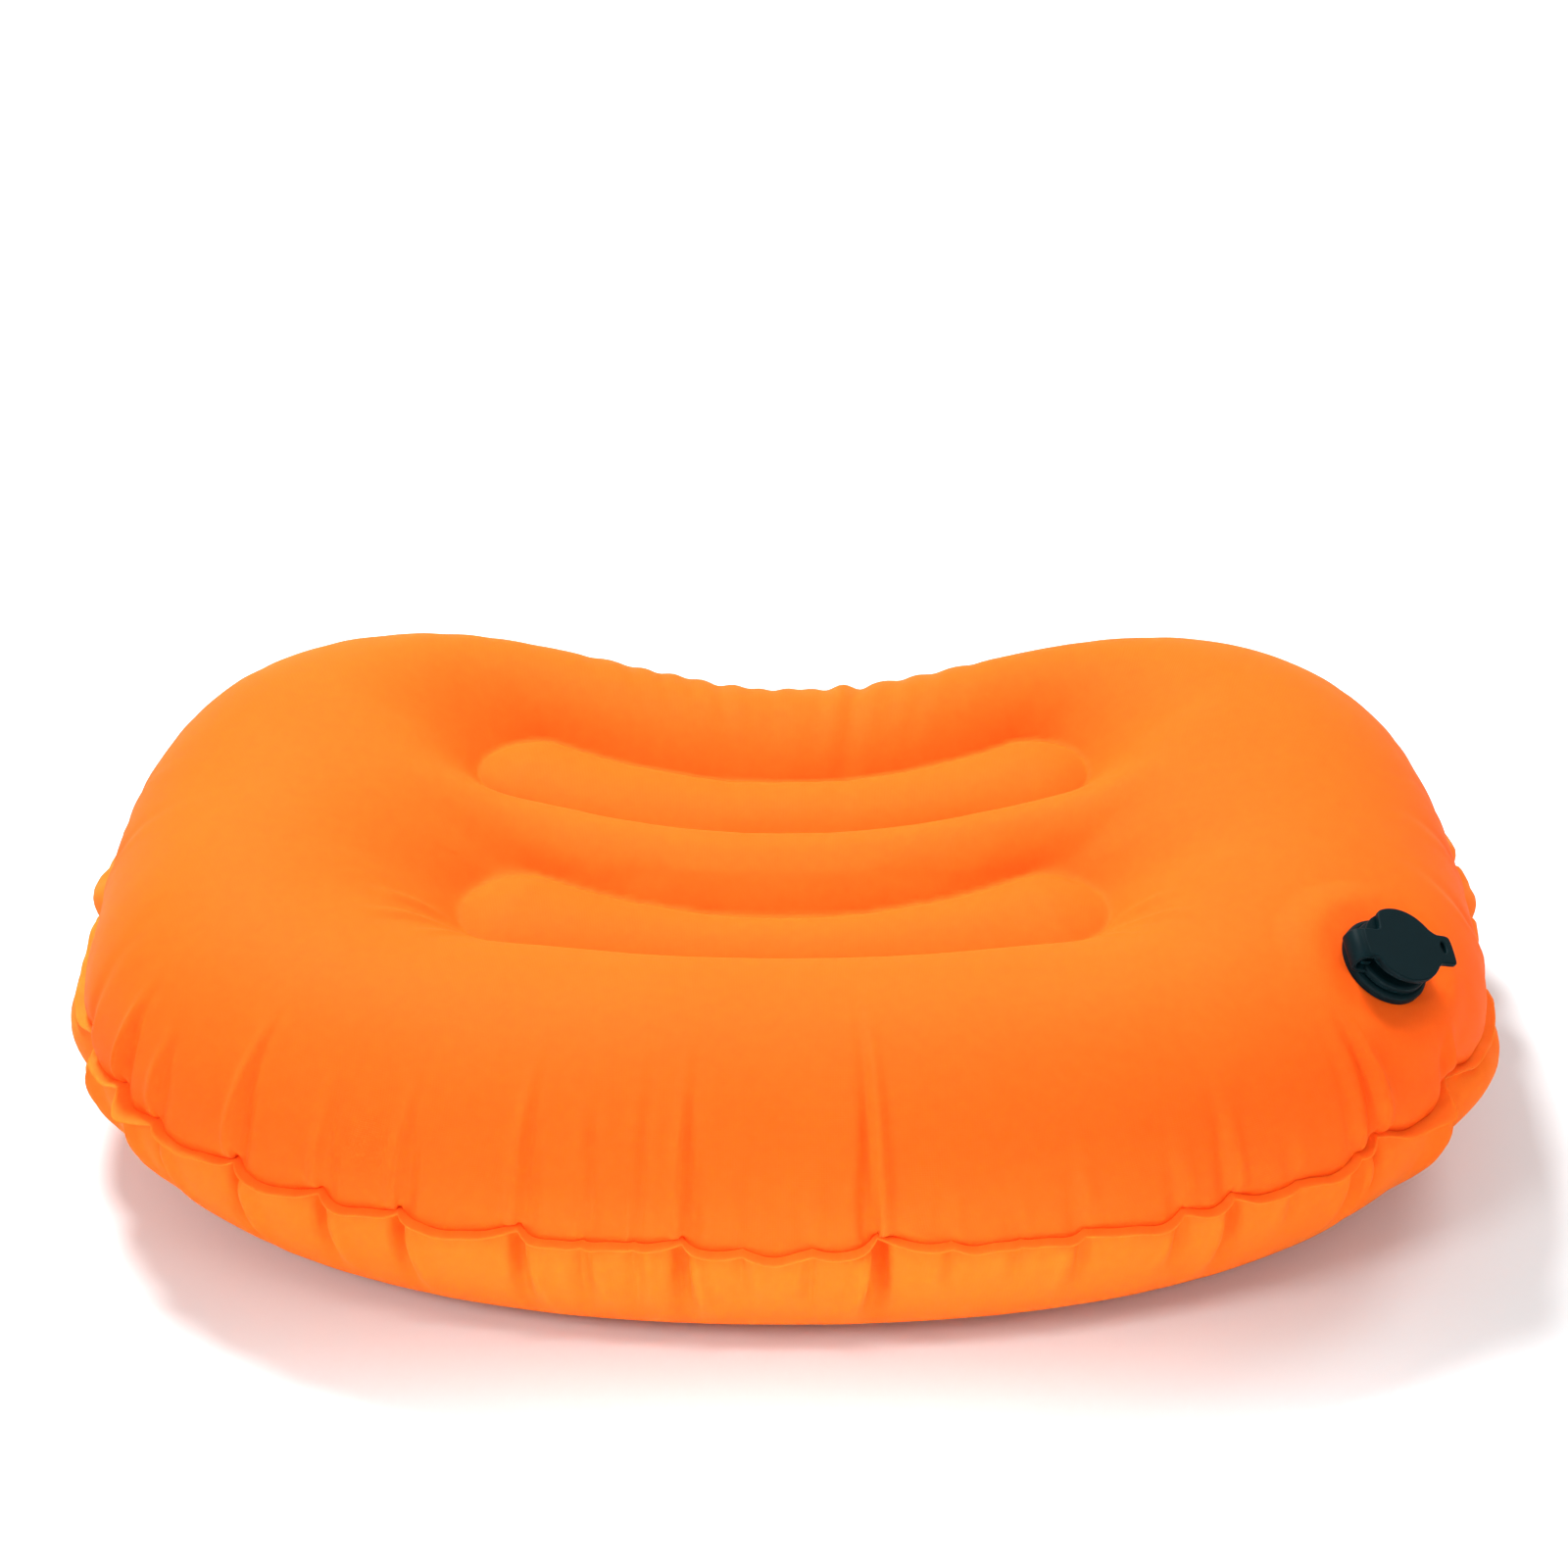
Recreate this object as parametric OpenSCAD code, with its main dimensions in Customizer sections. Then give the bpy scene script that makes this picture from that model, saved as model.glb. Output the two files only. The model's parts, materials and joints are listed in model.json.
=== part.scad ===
// Inflatable camp pillow: two fabric panels welded around the rim and along
// two curved slots, blown up through a two-stage push-in valve.
// X runs along the pillow, Y from the user's side to the back, Z up.

/* [Pillow] */
// Width over the two side lobes, without the weld margin
pillow_w = 406; // [360:1:460]
// Reach of the front edge ahead of the widest line
front_reach = 120; // [105:1:135]
// Reach of the rear lobes behind the widest line
rear_reach = 168; // [150:1:185]
// How square the front edge is, 2 being an ellipse
front_square = 2.2; // [2:0.1:2.6]
// How square the rear lobes are, 2 being an ellipse
rear_square = 3.5; // [2.6:0.1:3.8]
// Depth of the neck hollow in the rear edge
neck_dip = 39; // [20:1:46]
// Half width of the neck hollow
neck_dip_w = 108; // [90:1:120]
// How far the neck hollow sits toward the valve side
neck_dip_x = 5; // [0:1:10]
// Width of the welded margin around the rim
seam_w = 3; // [2:0.5:6]
// Height of the rim weld above the ground
seam_z = 50; // [44:1:54]
// Thickness drawn for the coated fabric
fabric_t = 0.5; // [0.4:0.1:0.8]

/* [Crown] */
// Height of the front roll
front_top = 91; // [84:1:98]
// Height of the back roll at the neck hollow
back_top = 82; // [76:1:90]
// Height of the side lobes
lobe_top = 95; // [88:1:102]
// Distance from the rim to the top of the front roll
front_crest = 46; // [40:1:52]
// Distance from the rim to the top of the back roll
back_crest = 32; // [28:1:38]
// Distance from the rim to the top of the side lobes
lobe_crest = 52; // [46:1:58]
// Height of the ridge between the slots at mid width
ridge_top = 78; // [72:1:84]
// Height of the ridge where it runs into the side lobes
ridge_end_top = 90; // [84:1:94]
// Height of the hollow under the pillow
hollow_top = 45; // [30:1:50]
// How far the underside is pressed flat where it rests
rest_flat = 3; // [2:0.5:5]

/* [Slots] */
// Y of the rear slot at mid width
rear_slot_y = 47; // [45:1:50]
// Half length of the rear slot's middle line
rear_slot_l = 76; // [70:1:84]
// How far the rear slot's ends turn back
rear_slot_rise = 15; // [8:1:20]
// Height of the rear slot's weld
rear_slot_z = 67; // [62:1:69]
// Half width of the rear slot
rear_slot_w = 15; // [12:1:17]
// Y of the front slot at mid width
front_slot_y = -21; // [-24:1:-19]
// Half length of the front slot's middle line
front_slot_l = 76; // [70:1:84]
// How far the front slot's ends turn back
front_slot_rise = 11; // [6:1:16]
// Height of the front slot's weld
front_slot_z = 67; // [62:1:69]
// Half width of the front slot
front_slot_w = 14; // [12:1:16]
// Width of the rounded shoulder beside a slot
slot_shoulder = 24; // [18:1:28]
// How far the fabric inside a slot's weld line swells
slot_crown = 5; // [2:0.5:6]

/* [Valve] */
// Direction from the pillow's middle to the valve, in degrees
valve_turn = -27; // [-40:1:-20]
// How far in from the rim the valve sits, as a share of the way
valve_in = 0.18; // [0.16:0.01:0.24]
// Lean of the valve's axis away from vertical
valve_tilt = 31; // [24:1:38]
// Plan direction in which the valve's axis leans
valve_heading = -31; // [-40:1:-20]
// Turn of the cap's tab about the valve's axis
valve_spin = 46; // [36:1:56]
// Radius of the weld flange under the fabric
flange_r = 18; // [16.5:0.5:19]
// Radius of the collar outside the fabric
collar_r = 13.2; // [13:0.1:14.2]
// Radius of the seat bore in the valve base
seat_r = 9.6; // [9:0.1:10]
// Radius of the mouthpiece's air hole
throat_r = 5.6; // [5:0.1:5.8]
// Radius of the cap's disc
cap_r = 12.2; // [11.5:0.1:13]
// Length of the cap's pull tab beyond the disc
tab_l = 5.2; // [4:0.1:7]
// Width of the pull tab
tab_w = 8.4; // [6:0.2:10]
// Width of the cap's strap
strap_w = 9.2; // [7:0.2:10]
// How far the second stage pulls out of its seat
plug_travel = 9; // [7:0.5:10]

/* [Hidden] */
$fn = 64;

fabric_orange = [0.99, 0.45, 0.12];
valve_black = [0.05, 0.12, 0.13];
silicone = [0.82, 0.84, 0.82];

// rim shape
half_w = pillow_w / 2;
widest_y = -(rear_reach - front_reach) / 2 + 8.45;
weld_gap = 0.05;

// grid of the panels
seg_n = 72;
edge_rings = 8;
inner_rings = 12;
ring_n = edge_rings + inner_rings + 1;
spine_half = 92;
spine_y = 3;
spine_sag = 6;
spine_stop = 0.97;

// valve levels, measured along its axis from the fabric's outer face
run_gap = 0.05;
collar_h = 3;
flange_t = 1;
seat_low = -6;
neck_r = seat_r + 1.6;
rim_z = collar_h + 0.05;
rim_h = 2.35;
mouth_z = 8.4;
cap_z = 8.5;
cap_h = 2.4;
lug_l = 3;
hub_r = 1.7;
hub_z = 1.6;
stem_r = 0.8;
flap_r = 6.9;
flap_t = 0.6;
flap_drop = 1.2;
bend_x = -12.7;
bend_r = 0.85;
strap_t = 1.3;
flat_r = 22;
flat_fade = 12;

function sgn(u) = u < 0 ? -1 : 1;
function mix(a, b, k) = a + (b - a) * k;
function limit(u) = min(1, max(0, u));
function round_in(u) = sqrt(max(0, 1 - pow(1 - limit(u), 2)));
function ease(u) = limit(u) * limit(u) * (3 - 2 * limit(u));
function bump(u) = exp(-u * u);

// a point of the rim, at angle a about the middle
function rim_k(a, n) = pow(pow(abs(cos(a)), n) + pow(abs(sin(a)), n), -1 / n);
function rim_n(a) = sin(a) < 0 ? front_square : rear_square;
function rim_reach(a) = sin(a) < 0 ? front_reach : rear_reach;
function rim_x(a) = half_w * cos(a) * rim_k(a, rim_n(a));
function rim_dip(a) = sin(a) < 0 ? 0 : neck_dip * pow(sin(a), 2) * bump((rim_x(a) - neck_dip_x) / neck_dip_w);
function rim_y(a) = widest_y + rim_reach(a) * sin(a) * rim_k(a, rim_n(a)) - rim_dip(a);
function rim(a) = [rim_x(a), rim_y(a)];
function spine(a) = [spine_half * cos(a), spine_y + spine_sag * pow(cos(a), 2)];

// how much of a lobe there is at angle a, from the rolls (0) to the lobes (1)
function lobe(a) = sin(a) < 0 ? pow(cos(a), 2) : 1 - pow(sin(a), 2) * bump((rim_x(a) - neck_dip_x) / neck_dip_w);
function roll_crest(a) = mix(sin(a) < 0 ? front_crest : back_crest, lobe_crest, lobe(a));
function roll_top(a) = mix(sin(a) < 0 ? front_top : back_top, lobe_top, lobe(a));
function ridge(a) = mix(ridge_top, ridge_end_top, pow(cos(a), 2));
function crest_share(a) = min(0.9, roll_crest(a) / norm(rim(a) - spine(a)));

// distance from a slot's middle line, which is a shallow arc
function slot_dx(x, half) = min(half, max(-half, x));
function slot_gap(x, y, sy, half, rise) =
    let (xc = slot_dx(x, half), dy = y - sy - rise * pow(xc / half, 2), tilt = 2 * rise * xc / pow(half, 2))
    abs(x) <= half ? abs(dy) / sqrt(1 + tilt * tilt) : norm([x - xc, dy]);
function slot_floor(z, d, w, up) = z + up * slot_crown * limit(1 - pow(d / w, 2));
function sink(z, d, floor_z, w, up) =
    mix(slot_floor(floor_z, d, w, up), z, sin(90 * limit((d - w) / slot_shoulder)));
function sink_both(z, x, y, lift, up) =
    let (rear_d = slot_gap(x, y, rear_slot_y, rear_slot_l, rear_slot_rise),
         front_d = slot_gap(x, y, front_slot_y, front_slot_l, front_slot_rise),
         z1 = sink(z, rear_d, rear_slot_z + lift, rear_slot_w, up))
    sink(z1, front_d, front_slot_z + lift, front_slot_w, up);

// height of the top and the underside at share v of the way from rim to spine
function fade(v, vc) = 0.5 * (1 + cos(180 * limit((v - vc) / (1 - vc))));
function top_raw(a, v, vc) =
    v < vc ? mix(seam_z + weld_gap + fabric_t, roll_top(a), round_in(v / vc))
           : mix(ridge(a), roll_top(a), fade(v, vc));
function low_raw(a, v, vc) =
    v < vc ? mix(seam_z - weld_gap - fabric_t, -rest_flat, round_in(v / vc))
           : mix(hollow_top, -rest_flat, fade(v, vc));

// a point in plan, and the panels' outer faces over it
function plan(a, v) = mix(rim(a), spine(a), v);
function top_free(a, v) =
    let (p = plan(a, v))
    [p.x, p.y, sink_both(top_raw(a, v, crest_share(a)), p.x, p.y, fabric_t, 1)];
function low_free(a, v) =
    let (p = plan(a, v), z = low_raw(a, v, crest_share(a)))
    [p.x, p.y, max(0, sink_both(z, p.x, p.y, -fabric_t - weld_gap, -1))];

// the fabric is pulled flat where the valve is welded in
valve_n = [sin(valve_tilt) * cos(valve_heading), sin(valve_tilt) * sin(valve_heading), cos(valve_tilt)];
valve_at = top_free(valve_turn, valve_in) - 1.2 * valve_n;
function flatten(p) =
    let (d = p - valve_at, h = d * valve_n, r = norm(d - h * valve_n))
    p - (abs(h) < 20 ? h * (1 - ease((r - flat_r) / flat_fade)) : 0) * valve_n;

// share of the way in for each ring: close together where the wall is steep
function ring_v(a, j) =
    let (vc = crest_share(a))
    j <= edge_rings ? vc * (1 - cos(90 * j / edge_rings))
                    : mix(vc, spine_stop, (j - edge_rings) / inner_rings);
function seam_out(a) = let (t = rim(a + 0.5) - rim(a - 0.5)) [t.y, -t.x] / norm(t);
function margin_pt(a, z) = let (p = rim(a) + seam_w * seam_out(a)) [p.x, p.y, z];

// columns stand closer together at the valve's angle, and the same in mirror image
function drawn_in(u) = u - 0.5 * (u + valve_turn) * bump((u + valve_turn) / 18);
function column(u) = u < 180 ? drawn_in(u) : 360 - drawn_in(360 - u);
angles = [for (i = [0 : seg_n - 1]) column(360 * (i + 0.5) / seg_n)];
top_grid = [for (j = [-1 : ring_n - 1]) [for (a = angles)
    j < 0 ? margin_pt(a, seam_z + weld_gap + fabric_t) : flatten(top_free(a, ring_v(a, j)))]];
low_grid = [for (j = [-1 : ring_n - 1]) [for (a = angles)
    j < 0 ? margin_pt(a, seam_z - weld_gap - fabric_t) : low_free(a, ring_v(a, j))]];

// the same grid moved one fabric thickness along its normals
function grid_normal(g, i, j) =
    let (m = len(g[0]), last = len(g) - 1,
         u = g[j][(i + 1) % m] - g[j][(i + m - 1) % m],
         w = g[min(last, j + 1)][i] - g[max(0, j - 1)][i],
         n = cross(u, w))
    n / norm(n);
function shifted(g, t) =
    [for (j = [0 : len(g) - 1]) [for (i = [0 : len(g[0]) - 1]) g[j][i] + t * grid_normal(g, i, j)]];
function flat_list(g) = [for (row = g) each row];

// faces of one sheet: bands between rings, then a strip that closes the spine
function sheet_faces(base, rows, m) = concat(
    [for (j = [0 : rows - 2]) for (i = [0 : m - 1]) let (k = (i + 1) % m, b = base + j * m)
        each [[b + i, b + m + i, b + k], [b + k, b + m + i, b + m + k]]],
    [for (i = [0 : m / 2 - 2]) let (b = base + (rows - 1) * m, o = m - 1)
        each [[b + i, b + o - i, b + i + 1], [b + i + 1, b + o - i, b + o - i - 1]]]);
function turned(faces) = [for (f = faces) [f[0], f[2], f[1]]];
function rim_faces(m, low) = [for (i = [0 : m - 1]) let (k = (i + 1) % m)
    each [[i, k, low + i], [k, low + k, low + i]]];

// a closed shell one fabric thick; up is 1 for the top panel, -1 for the bottom
module fabric_shell(grid, up) {
    m = seg_n;
    rows = len(grid);
    inside = shifted(grid, -up * fabric_t);
    outer = sheet_faces(0, rows, m);
    inner = turned(sheet_faces(rows * m, rows, m));
    all_faces = concat(outer, inner, rim_faces(m, rows * m));
    polyhedron(
        points = concat(flat_list(grid), flat_list(inside)),
        faces = up > 0 ? all_faces : turned(all_faces),
        convexity = 6);
}

module at_valve() {
    translate(valve_at)
        rotate([0, valve_tilt, valve_heading])
            rotate([0, 0, valve_spin])
                children();
}

module tube(z, h, r_out, r_in) {
    translate([0, 0, z])
        difference() {
            cylinder(h = h, r = r_out);
            translate([0, 0, -1])
                cylinder(h = h + 2, r = r_in);
        }
}

// a ring whose outer edges are rounded, turned about the valve's axis
module soft_ring(z, h, r_out, r_in, e) {
    translate([0, 0, z])
        rotate_extrude()
            polygon([
                [r_in, 0], [r_out - e / 3, 0], [r_out, e / 3], [r_out, h - e],
                [r_out - e * 0.3, h - e * 0.3], [r_out - e, h], [r_in, h]]);
}

// the valve's neck comes through a flat round patch welded into the fabric
module top_panel() {
    color(fabric_orange)
        union() {
            difference() {
                fabric_shell(top_grid, 1);
                at_valve()
                    translate([0, 0, -8])
                        cylinder(h = 16, r = flange_r + 0.4);
            }
            at_valve()
                tube(-fabric_t - 0.02, fabric_t + 0.05, flange_r + 3.5, neck_r + 0.1);
        }
}

module bottom_panel() {
    color(fabric_orange)
        fabric_shell(low_grid, -1);
}

// weld flange, neck through the fabric, seat bore and outer collar in one piece
module valve_base() {
    color(valve_black)
        at_valve() {
            under = -fabric_t - weld_gap;
            difference() {
                union() {
                    translate([0, 0, under - flange_t])
                        cylinder(h = flange_t, r = flange_r);
                    translate([0, 0, under - flange_t])
                        cylinder(h = flange_t + fabric_t + 1, r = neck_r);
                    translate([0, 0, seat_low])
                        cylinder(h = 2 - seat_low, r = neck_r);
                    soft_ring(weld_gap, collar_h - weld_gap, collar_r, seat_r - 1, 1);
                }
                translate([0, 0, seat_low - 1])
                    cylinder(h = collar_h - seat_low + 2, r = seat_r);
            }
        }
}

// second stage: skirt in the seat, rim, mouthpiece, and spokes for the flap
module valve_plug() {
    color(valve_black)
        at_valve()
            union() {
                tube(seat_low + 1, rim_z - seat_low, seat_r - run_gap, seat_r - 1.6);
                soft_ring(rim_z, rim_h, collar_r - 1.6, throat_r, 0.9);
                tube(hub_z, mouth_z - hub_z, throat_r + 1.5, throat_r);
                tube(hub_z, 1.4, hub_r, stem_r + run_gap);
                translate([bend_x + run_gap, -strap_w / 2, rim_z + rim_h - 0.1])
                    cube([lug_l, strap_w, strap_t + 0.2]);
                for (turn = [0 : 120 : 240])
                    rotate([0, 0, turn + 30])
                        translate([hub_r - 0.3, -0.6, hub_z])
                            cube([throat_r - hub_r + 0.8, 1.2, 1.4]);
            }
}

// band that keeps the second stage on the base, lying around the collar
module plug_tether() {
    color(valve_black)
        at_valve() {
            band_r = collar_r + 0.3;
            rotate([0, 0, 50])
                rotate_extrude(angle = 80)
                    translate([band_r, 1.3])
                        square([1.8, 1.3]);
            rotate([0, 0, 50])
                translate([collar_r + 0.02, 0, 1.3])
                    cube([1.5, 3, 1.3]);
            rotate([0, 0, 130])
                translate([band_r, -3, 2.5])
                    cube([1.8, 3, 1.8]);
            rotate([0, 0, 130])
                translate([collar_r - 1.5, -3, 3.1])
                    cube([3, 3, 1.2]);
        }
}

// soft one-way flap under the spokes, with its stem and barb
module check_flap() {
    color(silicone)
        at_valve()
            union() {
                translate([0, 0, hub_z - 0.05 - flap_t])
                    cylinder(h = flap_t, r = flap_r);
                translate([0, 0, hub_z - 0.2])
                    cylinder(h = 1.4 + flap_drop + 0.6, r = stem_r);
                translate([0, 0, hub_z + 1.4 + flap_drop + 0.1])
                    cylinder(h = 0.8, r1 = 1.25, r2 = 0.7);
            }
}

// lid with a plug boss below and a pull tab with a small slot
module valve_cap() {
    color(valve_black)
        at_valve()
            difference() {
                union() {
                    soft_ring(cap_z, cap_h, cap_r, 0, 0.9);
                    translate([0, 0, cap_z - 2.4])
                        cylinder(h = 2.5, r1 = throat_r - 1.1, r2 = throat_r - 0.35);
                    translate([cap_r - 4, -tab_w / 2, cap_z + 0.4])
                        cube([tab_l + 4, tab_w, 1.5]);
                    translate([bend_x, -strap_w / 2, cap_z])
                        cube([cap_r - 8, strap_w, strap_t]);
                }
                translate([cap_r + tab_l - 3, -tab_w / 4, cap_z - 1])
                    cube([1.6, tab_w / 2, 5]);
                translate([bend_x - 0.6, strap_w / 2 - 2.4, cap_z - 1])
                    cube([2.6, 3, 5]);
            }
}

// moulded bend that the cap swings on
module cap_strap() {
    color(valve_black)
        at_valve()
            translate([bend_x, strap_w / 2, cap_z - bend_r])
                rotate([90, 0, 0])
                    difference() {
                        cylinder(h = strap_w, r = bend_r + strap_t);
                        translate([0, 0, -1])
                            cylinder(h = strap_w + 2, r = bend_r);
                        translate([0, -5, -1])
                            cube([5, 10, strap_w + 2]);
                    }
}

top_panel();
bottom_panel();
valve_base();
valve_plug();
plug_tether();
check_flap();
valve_cap();
cap_strap();
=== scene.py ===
"""Inflatable camp pillow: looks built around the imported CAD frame. Lengths are in metres."""
import json
import math
import bpy
import numpy as np
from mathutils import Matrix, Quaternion, Vector


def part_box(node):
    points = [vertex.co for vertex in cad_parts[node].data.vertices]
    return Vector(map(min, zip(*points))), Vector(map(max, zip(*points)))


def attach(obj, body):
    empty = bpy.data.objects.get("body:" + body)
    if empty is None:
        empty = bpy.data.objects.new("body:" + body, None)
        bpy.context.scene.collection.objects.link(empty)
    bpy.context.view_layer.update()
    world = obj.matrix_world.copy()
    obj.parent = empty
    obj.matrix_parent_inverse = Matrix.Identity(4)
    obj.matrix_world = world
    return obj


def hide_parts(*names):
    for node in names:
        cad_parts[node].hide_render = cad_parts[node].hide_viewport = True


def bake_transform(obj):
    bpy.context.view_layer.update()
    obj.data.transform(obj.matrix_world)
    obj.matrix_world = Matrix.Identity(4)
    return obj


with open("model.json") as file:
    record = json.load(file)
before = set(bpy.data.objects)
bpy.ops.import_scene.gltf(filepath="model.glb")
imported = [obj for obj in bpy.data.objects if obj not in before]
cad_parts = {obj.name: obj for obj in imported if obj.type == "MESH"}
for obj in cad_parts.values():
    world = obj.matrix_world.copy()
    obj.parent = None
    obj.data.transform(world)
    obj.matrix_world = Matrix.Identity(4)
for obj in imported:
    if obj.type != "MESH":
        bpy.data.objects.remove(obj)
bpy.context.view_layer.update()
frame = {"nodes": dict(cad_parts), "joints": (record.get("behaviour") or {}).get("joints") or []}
scene = bpy.context.scene
MM = 0.001

# ---------------------------------------------------------------- sizes from the frame
top_lo, top_hi = [np.array(c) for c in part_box("top_panel")]
joints = {j["name"]: j for j in frame["joints"]}

# the rim from above: an oval, squared by a power in front and one behind, with the neck hollow in its rear edge
SEAM_W = 3 * MM                       # welded margin around the rim
SEAM_Z = float(top_lo[2])             # height of the rim weld
HALF_W = (top_hi[0] - top_lo[0]) / 2 - SEAM_W
FRONT_REACH, REAR_REACH = 120 * MM, 168 * MM
WIDEST_Y = top_lo[1] + SEAM_W + FRONT_REACH
FRONT_SQUARE, REAR_SQUARE = 2.2, 3.5
NECK_DIP, NECK_DIP_W, NECK_X = 39 * MM, 108 * MM, 5 * MM

# tops of the roll, how far in from the rim each crest lies, the ridge and the underside's hollow at the spine,
# how far the base is pressed flat, and the spine itself, which the cloth's columns run in to
FRONT_TOP, BACK_TOP, LOBE_TOP = 91 * MM, 82 * MM, 95.5 * MM
FRONT_CREST, BACK_CREST, LOBE_CREST = 46 * MM, 32 * MM, 52 * MM
RIDGE_TOP, RIDGE_END_TOP = 78 * MM, 90 * MM
HOLLOW_TOP, REST_FLAT = 45 * MM, 3 * MM
SPINE_HALF, SPINE_Y, SPINE_SAG = 92 * MM, 3 * MM, 6 * MM

# a slot: y at mid width, half length, how far its ends turn back, half width at the middle and how much
# wider it is at its ends, height of the weld, and the widths of its far and near walls
REAR_SLOT = dict(y=47.3 * MM, half=76 * MM, rise=14.6 * MM, half_w=14.7 * MM, grow=2.6 * MM, weld=67 * MM,
                 far=30 * MM, near=22 * MM)
FRONT_SLOT = dict(y=-21 * MM, half=76 * MM, rise=10.3 * MM, half_w=12.6 * MM, grow=6 * MM, weld=67 * MM,
                  far=23 * MM, near=36 * MM)
SLOTS = (REAR_SLOT, FRONT_SLOT)
END_NEAR, END_FAR = 34 * MM, 50 * MM  # widths of the walls past a slot's ends
SLOT_CROWN = 5 * MM                   # how far each sheet swells between a slot's two weld lines
SLOT_RISE = 4 * MM                    # how much higher the weld is at a slot's ends
SHEET_GAP = 0.6 * MM
WELD_EDGE = 3 * MM
BULGE = 1.2 * MM                      # how far the wall stands proud of the seam
BULGE_AT = 9 * MM                     # how far along the cloth from the seam it does so most

# the valve's own frame: its axis, the way to the cap's tab, and the middle of its face on the fabric
VALVE_N = np.array(joints["plug_pull"]["axis"], float)
VALVE_N /= np.linalg.norm(VALVE_N)
VALVE_Y = -np.array(joints["cap_hinge"]["axis"], float)
VALVE_Y /= np.linalg.norm(VALVE_Y)
VALVE_X = np.cross(VALVE_Y, VALVE_N)
VALVE_R = np.stack([VALVE_X, VALVE_Y, VALVE_N], 1)
HINGE = np.array([-12.7, 0, 7.65]) * MM
VALVE_AT = np.array(joints["cap_hinge"]["pos_m"]) - VALVE_R @ HINGE
VALVE_HOLE_R = 12 * MM
PATCH_R, PATCH_EDGE = 19 * MM, 12 * MM
VALVE_NEAR = 20 * MM                  # fabric further than this from the valve's face isn't part of the patch


def mix(a, b, k):
    return a + (b - a) * k


def round_in(u):
    u = np.clip(u, 0, 1)
    return np.sqrt(np.maximum(0, 1 - (1 - u) ** 2))


def ease(u):
    u = np.clip(u, 0, 1)
    return u * u * (3 - 2 * u)


# ---------------------------------------------------------------- the pillow's own grid
def rim_point(a):
    """A point of the rim at angle a about the middle: a squared oval with the neck hollow."""
    c, s = np.cos(a), np.sin(a)
    n = np.where(s < 0, FRONT_SQUARE, REAR_SQUARE)
    reach = np.where(s < 0, FRONT_REACH, REAR_REACH)
    k = (np.abs(c) ** n + np.abs(s) ** n) ** (-1 / n)
    x = HALF_W * c * k
    dip = np.where(s > 0, NECK_DIP * s ** 2 * np.exp(-((x - NECK_X) / NECK_DIP_W) ** 2), 0)
    return np.stack([x, WIDEST_Y + reach * s * k - dip], -1)


def even_angles(n):
    """n angles evenly spaced along the rim, half of them behind and half in front."""
    out = []
    for lo, hi in ((0, math.pi), (math.pi, 2 * math.pi)):
        a = np.linspace(lo, hi, 2001)
        p = rim_point(a)
        s = np.concatenate([[0], np.cumsum(np.linalg.norm(np.diff(p, axis=0), axis=1))])
        out.append(np.interp(s[-1] * (np.arange(n // 2) + 0.5) / (n // 2), s, a))
    return np.concatenate(out)


def slot_gap(x, y, slot):
    """How points lie by a slot's bowed middle line: distance from it, far side (1) or near side (0), the slot's
    half width there, how squarely they lie past its end (0 to 1), and how far out along it (0 to 1)."""
    half, rise = slot["half"], slot["rise"]
    t = np.clip(x, -half, half)
    for _ in range(5):
        tilt = 2 * rise * t / half ** 2
        dy = y - slot["y"] - rise * (t / half) ** 2
        t = np.clip(t + ((x - t) + tilt * dy) / (1 + tilt ** 2), -half, half)
    out_by = (t / half) ** 2
    tilt = 2 * rise * t / half ** 2
    dy = y - slot["y"] - rise * out_by
    d = np.hypot(x - t, dy)
    end = ((x - t + tilt * dy) / np.maximum(d, 1e-6)) ** 2 / (1 + tilt ** 2)
    side = 0.5 + 0.5 * np.tanh(dy / (8 * MM))
    return d, side, slot["half_w"] + slot["grow"] * out_by, end, out_by


def from_valve(points):
    """Heights of points above the valve's face on the fabric, and their distances from its axis."""
    off = points - VALVE_AT
    h = off @ VALVE_N
    return h, np.linalg.norm(off - h[..., None] * VALVE_N, axis=-1)


def flatten_at_valve(grid):
    """The fabric is pulled flat where the valve is welded in."""
    h, r = from_valve(grid.p)
    k = np.where(np.abs(h) < VALVE_NEAR, 1 - ease((r - PATCH_R) / PATCH_EDGE), 0)
    grid.p -= (k * h)[..., None] * VALVE_N
    grid.patch = np.clip(k * 1.6, 0, 1)


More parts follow.
